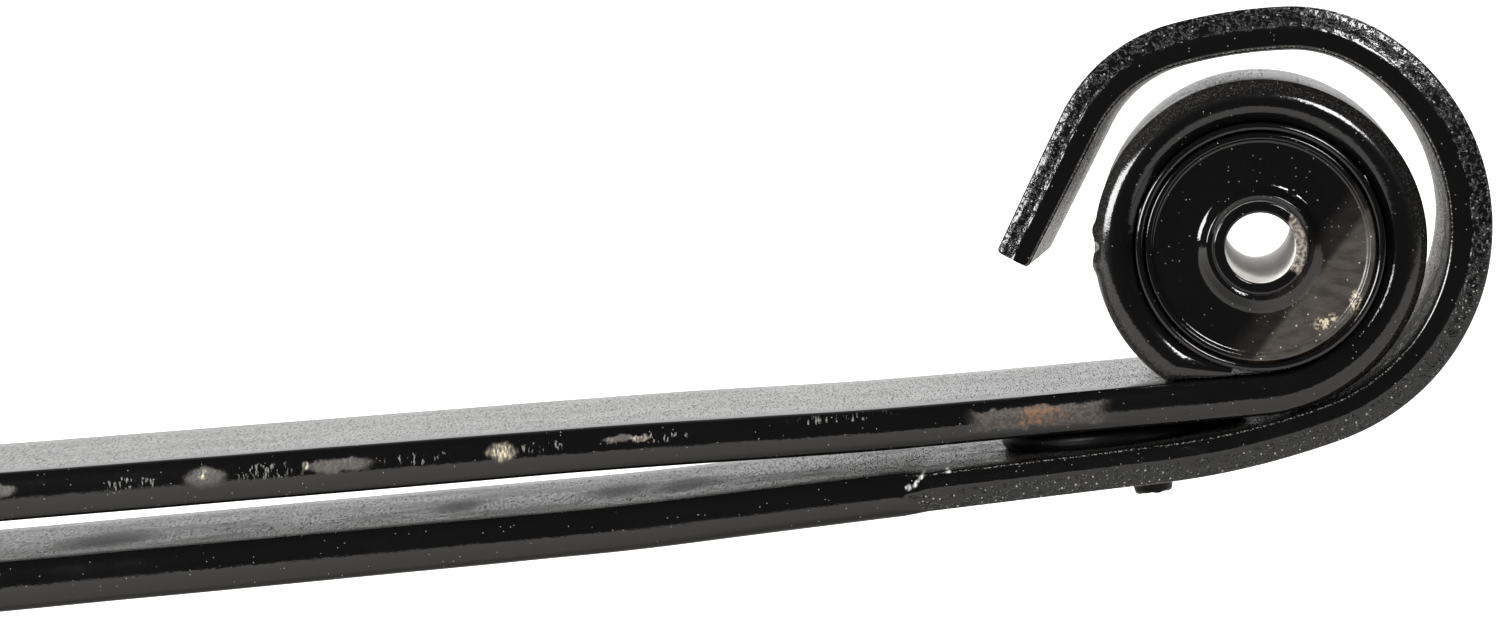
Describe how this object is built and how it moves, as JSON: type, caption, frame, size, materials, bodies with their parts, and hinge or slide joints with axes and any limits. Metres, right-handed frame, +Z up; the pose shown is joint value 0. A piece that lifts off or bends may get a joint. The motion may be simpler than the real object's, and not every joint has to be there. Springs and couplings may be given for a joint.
{
  "type": "parabolic leaf spring",
  "caption": "Parabolic leaf spring: rolled bushed eyes, a lower leaf that hooks right round the front eye, rubber tip pads, rebound clips and a centre bolt.",
  "frame": {"origin": "on the centre bolt's axis, in the bottom face of the lower leaf where it sits on the axle", "axes": "+X along the spring to the front (wrapped) eye, +Y across the leaves' width, +Z up as fitted, eyes above the seat"},
  "size_m": [1.9132, 0.127, 0.2094],
  "materials": {
    "main_leaf_paint": "gloss black paint over scaled spring steel, chipped to bare metal in places",
    "second_leaf_paint": "gloss black paint; the sheared hook edge is rough",
    "spacer_steel": "satin black",
    "bolt_steel": "dull zinc, forged",
    "sleeve_paint": "gloss black paint over a steel sleeve",
    "bush_rubber": "smooth rubber face, overpainted gloss black",
    "tube_steel": "machined bore, painted end face with chips",
    "pad_rubber": "smooth moulded rubber",
    "clip_paint": "gloss black paint",
    "clip_fasteners": "black painted steel"
  },
  "bodies": {
    "seat": {"main_leaf_seat": "main_leaf_paint", "second_leaf_seat": "second_leaf_paint", "seat_spacer": "spacer_steel", "centre_bolt": "bolt_steel", "centre_bolt_washer": "bolt_steel", "centre_bolt_nut": "bolt_steel"},
    "front_main_arm": {"main_leaf_front_arm": "main_leaf_paint", "front_bush_outer_sleeve": "sleeve_paint", "front_bush_rubber": "bush_rubber"},
    "front_second_arm": {"second_leaf_front_arm": "second_leaf_paint", "front_silencer_pad": "pad_rubber", "front_clip_strap": "clip_paint", "front_clip_rivet": "clip_paint", "front_clip_bolt": "clip_fasteners", "front_clip_spacer_tube": "clip_fasteners", "front_clip_nut": "clip_fasteners"},
    "front_bush_tube": {"front_bush_inner_tube": "tube_steel"},
    "rear_main_arm": {"main_leaf_rear_arm": "main_leaf_paint", "rear_bush_outer_sleeve": "sleeve_paint", "rear_bush_rubber": "bush_rubber"},
    "rear_second_arm": {"second_leaf_rear_arm": "second_leaf_paint", "rear_silencer_pad": "pad_rubber", "rear_clip_strap": "clip_paint", "rear_clip_rivet": "clip_paint", "rear_clip_bolt": "clip_fasteners", "rear_clip_spacer_tube": "clip_fasteners", "rear_clip_nut": "clip_fasteners"},
    "rear_bush_tube": {"rear_bush_inner_tube": "tube_steel"}
  },
  "joints": [
    {"name": "front_main_flex", "type": "hinge", "parent": "seat", "child": "front_main_arm", "pos_m": [0.27, 0, 0.0425], "axis": [0, 1, 0], "range_deg": [-1.5, 10], "stiffness_Nm_per_rad": 10300},
    {"name": "front_second_flex", "type": "hinge", "parent": "seat", "child": "front_second_arm", "pos_m": [0.27, 0, 0.01324], "axis": [0, 1, 0], "range_deg": [-1.6, 10.1], "stiffness_Nm_per_rad": 10300},
    {"name": "front_bush_twist", "type": "hinge", "parent": "front_main_arm", "child": "front_bush_tube", "pos_m": [0.9, 0, 0.12909], "axis": [0, 1, 0], "range_deg": [-15, 15], "stiffness_Nm_per_rad": 25},
    {"name": "rear_main_flex", "type": "hinge", "parent": "seat", "child": "rear_main_arm", "pos_m": [-0.27, 0, 0.0425], "axis": [0, -1, 0], "range_deg": [-1.5, 10], "stiffness_Nm_per_rad": 10300},
    {"name": "rear_second_flex", "type": "hinge", "parent": "seat", "child": "rear_second_arm", "pos_m": [-0.27, 0, 0.01324], "axis": [0, -1, 0], "range_deg": [-1.6, 10.1], "stiffness_Nm_per_rad": 10300},
    {"name": "rear_bush_twist", "type": "hinge", "parent": "rear_main_arm", "child": "rear_bush_tube", "pos_m": [-0.9, 0, 0.12909], "axis": [0, 1, 0], "range_deg": [-15, 15], "stiffness_Nm_per_rad": 25}
  ],
  "couplings": [
    {"joint": "front_second_flex", "follows": "front_main_flex", "ratio": 1.005},
    {"joint": "rear_second_flex", "follows": "rear_main_flex", "ratio": 1.005}
  ]
}
